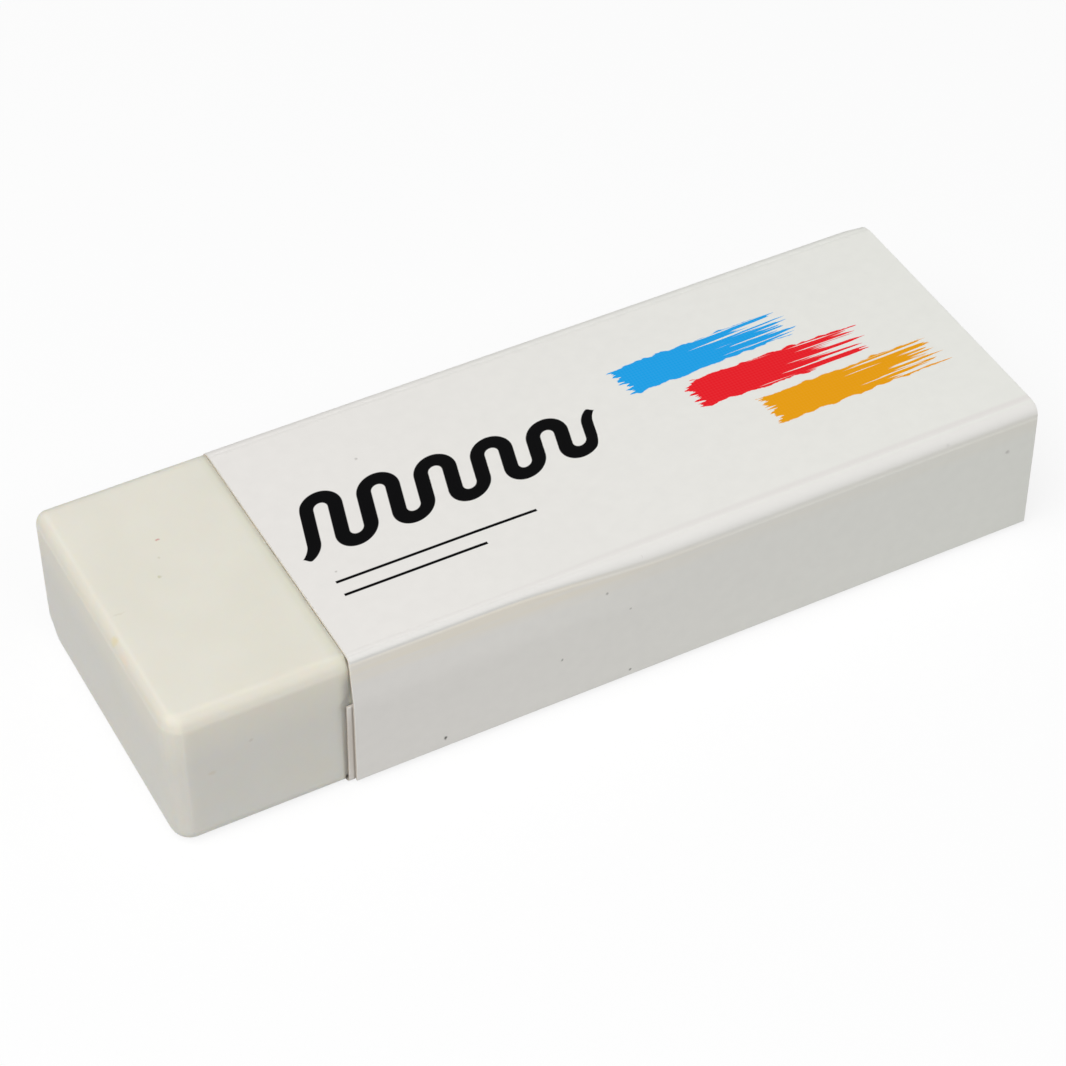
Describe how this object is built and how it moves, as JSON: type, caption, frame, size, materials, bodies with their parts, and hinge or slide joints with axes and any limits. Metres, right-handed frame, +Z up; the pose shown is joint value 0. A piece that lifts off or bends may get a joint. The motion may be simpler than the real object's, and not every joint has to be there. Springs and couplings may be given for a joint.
{
  "type": "block eraser",
  "caption": "Rounded block of soft white rubber for rubbing out pencil, in a folded card sleeve with a lapped seam; the block slides out of the sleeve as its bare end wears.",
  "frame": {"origin": "under the middle of the block's length and width, on the surface that the sleeve lies on", "axes": "+X along the block from its bare working end to its covered end, +Z up, -Y towards the sleeve's lapped seam"},
  "size_m": [0.06, 0.0215, 0.0106],
  "materials": {
    "coated_card": "printed and satin coated",
    "white_rubber": "moulded, matt"
  },
  "bodies": {
    "sleeve": {"card_sleeve": "coated_card"},
    "block": {"eraser_block": "white_rubber"}
  },
  "joints": [
    {"name": "block_slide", "type": "slide", "parent": "sleeve", "child": "block", "axis": [-1, 0, 0], "range_m": [-0.061, 0.0496]}
  ]
}
